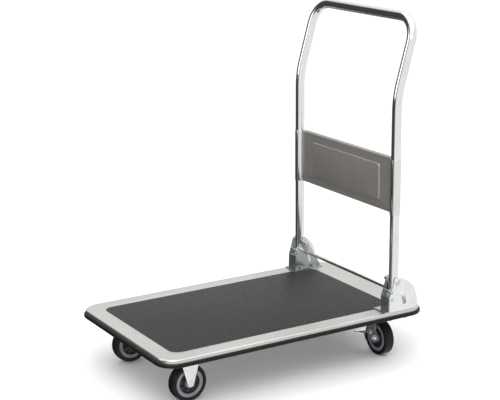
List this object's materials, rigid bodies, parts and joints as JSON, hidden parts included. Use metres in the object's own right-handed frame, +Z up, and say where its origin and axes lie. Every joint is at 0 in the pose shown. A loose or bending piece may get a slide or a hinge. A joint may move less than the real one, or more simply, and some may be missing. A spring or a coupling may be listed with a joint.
{
  "type": "folding platform cart",
  "caption": "Platform cart with inset mat, wrap-round bumper, fold-down tube handle with panel, foot release bar, and fixed and swivel casters with foot brakes.",
  "frame": {"origin": "on the floor under the middle of the platform", "axes": "+Z up, +X towards the handle end (rear), -Y is the left side seen from behind the handle, facing the platform"},
  "size_m": [0.785, 0.49, 0.9145],
  "materials": {
    "deck_paint": "satin light grey coat",
    "deck_vinyl": "fine grained vinyl",
    "bumper_rubber": "semi-matte",
    "tyre_rubber": "matte",
    "rim_plastic": "moulded",
    "handle_chrome": "polished",
    "panel_steel": "satin plated",
    "bar_chrome": "polished",
    "bush_nylon": "natural nylon",
    "plug_plastic": "moulded",
    "zinc_plate": "bright zinc plated",
    "pedal_zinc": "bright zinc plated",
    "channel_steel": "satin coat",
    "spring_steel": "drawn wire",
    "zinc_fastener": "zinc plated"
  },
  "bodies": {
    "deck": {"bracket_bolts": "zinc_fastener", "bracket_nuts": "zinc_fastener", "caster_bolts": "zinc_fastener", "caster_nuts": "zinc_fastener", "centre_rail": "channel_steel", "deck_mat": "deck_vinyl", "deck_pan": "deck_paint", "edge_bumper": "bumper_rubber", "front_cross_channel": "channel_steel", "front_left_axle_bolt": "zinc_fastener", "front_left_axle_nut": "zinc_fastener", "front_left_fork": "zinc_plate", "front_right_axle_bolt": "zinc_fastener", "front_right_axle_nut": "zinc_fastener", "front_right_fork": "zinc_plate", "kingpins": "zinc_fastener", "left_bracket_rivet": "zinc_fastener", "left_inner_plate": "zinc_plate", "left_outer_plate": "zinc_plate", "left_return_spring": "spring_steel", "pivot_bolts": "zinc_fastener", "pivot_nuts": "zinc_fastener", "pivot_washers": "bush_nylon", "rear_cross_channel": "channel_steel", "rear_left_top_plate": "zinc_plate", "rear_right_top_plate": "zinc_plate", "right_bracket_rivet": "zinc_fastener", "right_inner_plate": "zinc_plate", "right_outer_plate": "zinc_plate", "right_return_spring": "spring_steel", "stop_pins": "zinc_fastener", "swivel_balls": "zinc_fastener"},
    "handle": {"handle_tube": "handle_chrome", "handle_panel": "panel_steel", "tube_end_plugs": "plug_plastic", "pivot_bushes": "bush_nylon", "panel_rivets": "zinc_fastener"},
    "release_bar": {"release_bar": "bar_chrome", "bar_clips": "zinc_fastener"},
    "front_left_wheel": {"front_left_tyre": "tyre_rubber", "front_left_rim": "rim_plastic", "front_left_bush": "bush_nylon"},
    "front_right_wheel": {"front_right_tyre": "tyre_rubber", "front_right_rim": "rim_plastic", "front_right_bush": "bush_nylon"},
    "rear_left_swivel": {"rear_left_swivel_fork": "zinc_plate", "rear_left_pedal_pins": "zinc_fastener", "rear_left_axle_bolt": "zinc_fastener", "rear_left_axle_nut": "zinc_fastener"},
    "rear_left_brake": {"rear_left_brake_pedal": "pedal_zinc"},
    "rear_left_wheel": {"rear_left_tyre": "tyre_rubber", "rear_left_rim": "rim_plastic", "rear_left_bush": "bush_nylon"},
    "rear_right_swivel": {"rear_right_swivel_fork": "zinc_plate", "rear_right_pedal_pins": "zinc_fastener", "rear_right_axle_bolt": "zinc_fastener", "rear_right_axle_nut": "zinc_fastener"},
    "rear_right_brake": {"rear_right_brake_pedal": "pedal_zinc"},
    "rear_right_wheel": {"rear_right_tyre": "tyre_rubber", "rear_right_rim": "rim_plastic", "rear_right_bush": "bush_nylon"}
  },
  "joints": [
    {"name": "handle_fold", "type": "hinge", "parent": "deck", "child": "handle", "pos_m": [0.295, 0, 0.224], "axis": [0, -1, 0], "range_deg": [0, 97]},
    {"name": "release_bar_press", "type": "slide", "parent": "deck", "child": "release_bar", "axis": [0.2504, 0, -0.9681], "range_m": [0, 0.024], "stiffness_N_per_m": 1200, "springref_m": -0.012, "deforming": ["left_return_spring", "right_return_spring"]},
    {"name": "front_left_roll", "type": "hinge", "parent": "deck", "child": "front_left_wheel", "pos_m": [-0.285, -0.157, 0.048], "axis": [0, 1, 0], "continuous": true},
    {"name": "front_right_roll", "type": "hinge", "parent": "deck", "child": "front_right_wheel", "pos_m": [-0.285, 0.157, 0.048], "axis": [0, 1, 0], "continuous": true},
    {"name": "rear_left_swivel", "type": "hinge", "parent": "deck", "child": "rear_left_swivel", "pos_m": [0.3025, -0.1235, 0.12], "axis": [0, 0, 1], "continuous": true},
    {"name": "rear_right_swivel", "type": "hinge", "parent": "deck", "child": "rear_right_swivel", "pos_m": [0.3025, 0.1235, 0.12], "axis": [0, 0, 1], "continuous": true},
    {"name": "rear_left_roll", "type": "hinge", "parent": "rear_left_swivel", "child": "rear_left_wheel", "pos_m": [0.3025, -0.1555, 0.048], "axis": [1, 0, 0], "continuous": true},
    {"name": "rear_right_roll", "type": "hinge", "parent": "rear_right_swivel", "child": "rear_right_wheel", "pos_m": [0.3345, 0.1235, 0.048], "axis": [0, 1, 0], "continuous": true},
    {"name": "rear_left_brake", "type": "hinge", "parent": "rear_left_swivel", "child": "rear_left_brake", "pos_m": [0.3025, -0.1355, 0.058], "axis": [-1, 0, 0], "range_deg": [0, 8]},
    {"name": "rear_right_brake", "type": "hinge", "parent": "rear_right_swivel", "child": "rear_right_brake", "pos_m": [0.3145, 0.1235, 0.058], "axis": [0, -1, 0], "range_deg": [0, 8]}
  ]
}
